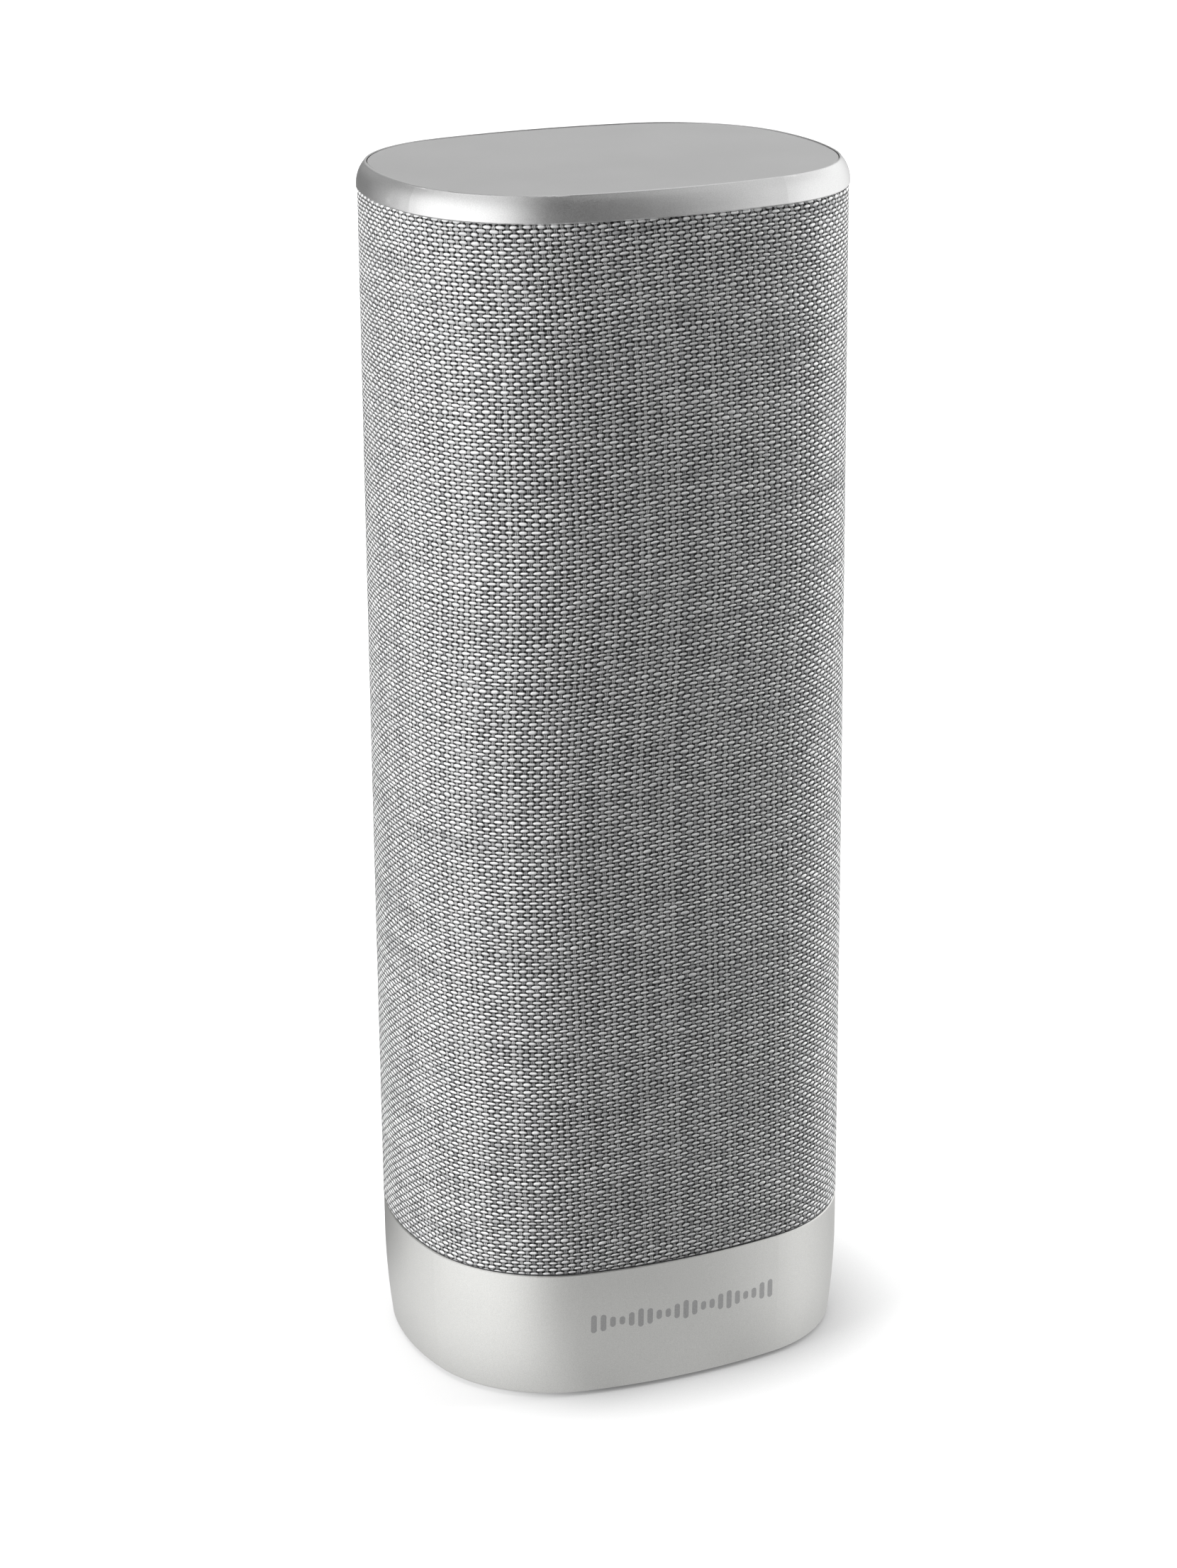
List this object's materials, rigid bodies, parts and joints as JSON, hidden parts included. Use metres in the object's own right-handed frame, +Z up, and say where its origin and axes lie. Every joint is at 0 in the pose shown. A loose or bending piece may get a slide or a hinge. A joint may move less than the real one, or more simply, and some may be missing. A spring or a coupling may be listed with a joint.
{
  "type": "tabletop loudspeaker",
  "caption": "Tall oval tabletop wireless speaker: metal base with rear power inlet and pairing button, cloth-covered body, metal top ring and flat panel, and drivers behind the cloth.",
  "frame": {"origin": "on the table, under the middle of the body", "axes": "+Z up, +X to the right as seen from the front, front faces -Y"},
  "size_m": [0.0952, 0.0772, 0.248],
  "materials": {
    "anodised_aluminium": "satin, fine bead-blasted grain",
    "grille_fabric": "woven melange of light and mid grey yarn",
    "dark_rubber": "matt",
    "black_plastic": "fine texture",
    "dark_plastic": "fine texture",
    "mark_ink": "matt",
    "button_plastic": "satin",
    "clear_lens": "frosted",
    "brass": "machined",
    "steel": "zinc plated",
    "black_steel": "black, satin",
    "pin_metal": "nickel plated",
    "circuit_board": "solder mask",
    "component_black": "moulded",
    "winding_tape": "taped",
    "can_sleeve": "shrink sleeve",
    "shield_metal": "tinned",
    "ferrite": "matt, ground faces",
    "paper_cone": "pressed fibre",
    "copper_coil": "enamelled wire",
    "spider_cloth": "resin-stiffened cloth",
    "dome_silk": "coated silk",
    "damping_felt": "loose felt",
    "foam": "soft foam",
    "lead_sleeve": "smooth"
  },
  "bodies": {
    "body": {"base_shell": "anodised_aluminium", "front_mark": "mark_ink", "base_plate": "black_plastic", "foot_ring": "dark_rubber", "stand_insert": "brass", "base_screws": "steel", "shadow_gasket": "dark_rubber", "io_panel": "black_plastic", "power_inlet": "black_plastic", "inlet_pins": "pin_metal", "pair_switch": "component_black", "status_lens": "clear_lens", "status_led": "component_black", "io_board": "circuit_board", "supply_board": "circuit_board", "supply_transformer": "winding_tape", "supply_capacitors": "can_sleeve", "supply_screws": "steel", "tray": "dark_plastic", "amp_board": "circuit_board", "amp_screws": "steel", "heat_sink": "anodised_aluminium", "amp_chip": "component_black", "radio_module": "shield_metal", "speaker_sockets": "component_black", "cabinet_shell": "dark_plastic", "front_baffle": "dark_plastic", "cabinet_gasket": "foam", "baffle_screws": "steel", "cabinet_wadding": "damping_felt", "lead_grommet": "dark_rubber", "woofer_basket": "black_steel", "woofer_top_plate": "steel", "woofer_magnet": "ferrite", "woofer_yoke": "steel", "woofer_surround": "dark_rubber", "woofer_spider": "spider_cloth", "woofer_gasket": "foam", "woofer_screws": "steel", "tweeter_waveguide": "black_plastic", "tweeter_cup": "steel", "tweeter_magnet": "ferrite", "tweeter_suspension": "dark_rubber", "tweeter_screws": "steel", "woofer_lead": "lead_sleeve", "tweeter_lead": "lead_sleeve", "supply_lead": "lead_sleeve", "grille_frame": "black_plastic", "grille_cloth": "grille_fabric", "top_ring": "anodised_aluminium", "top_panel": "anodised_aluminium", "panel_pad": "foam", "top_carrier": "dark_plastic", "carrier_screws": "steel"},
    "pair_button": {"pair_button": "button_plastic"},
    "woofer_cone": {"woofer_cone": "paper_cone", "dust_cap": "paper_cone", "voice_coil": "copper_coil"},
    "tweeter_dome": {"tweeter_dome": "dome_silk"}
  },
  "joints": [
    {"name": "pair_button_press", "type": "slide", "parent": "body", "child": "pair_button", "axis": [0, -1, 0], "range_m": [0, 0.0006], "stiffness_N_per_m": 800},
    {"name": "woofer_cone_travel", "type": "slide", "parent": "body", "child": "woofer_cone", "axis": [0, -1, 0], "range_m": [-0.002, 0.002], "stiffness_N_per_m": 1200, "deforming": ["woofer_surround", "woofer_spider"]},
    {"name": "tweeter_dome_travel", "type": "slide", "parent": "body", "child": "tweeter_dome", "axis": [0, -1, 0], "range_m": [-0.00025, 0.00025], "stiffness_N_per_m": 2000, "deforming": ["tweeter_suspension"]}
  ]
}
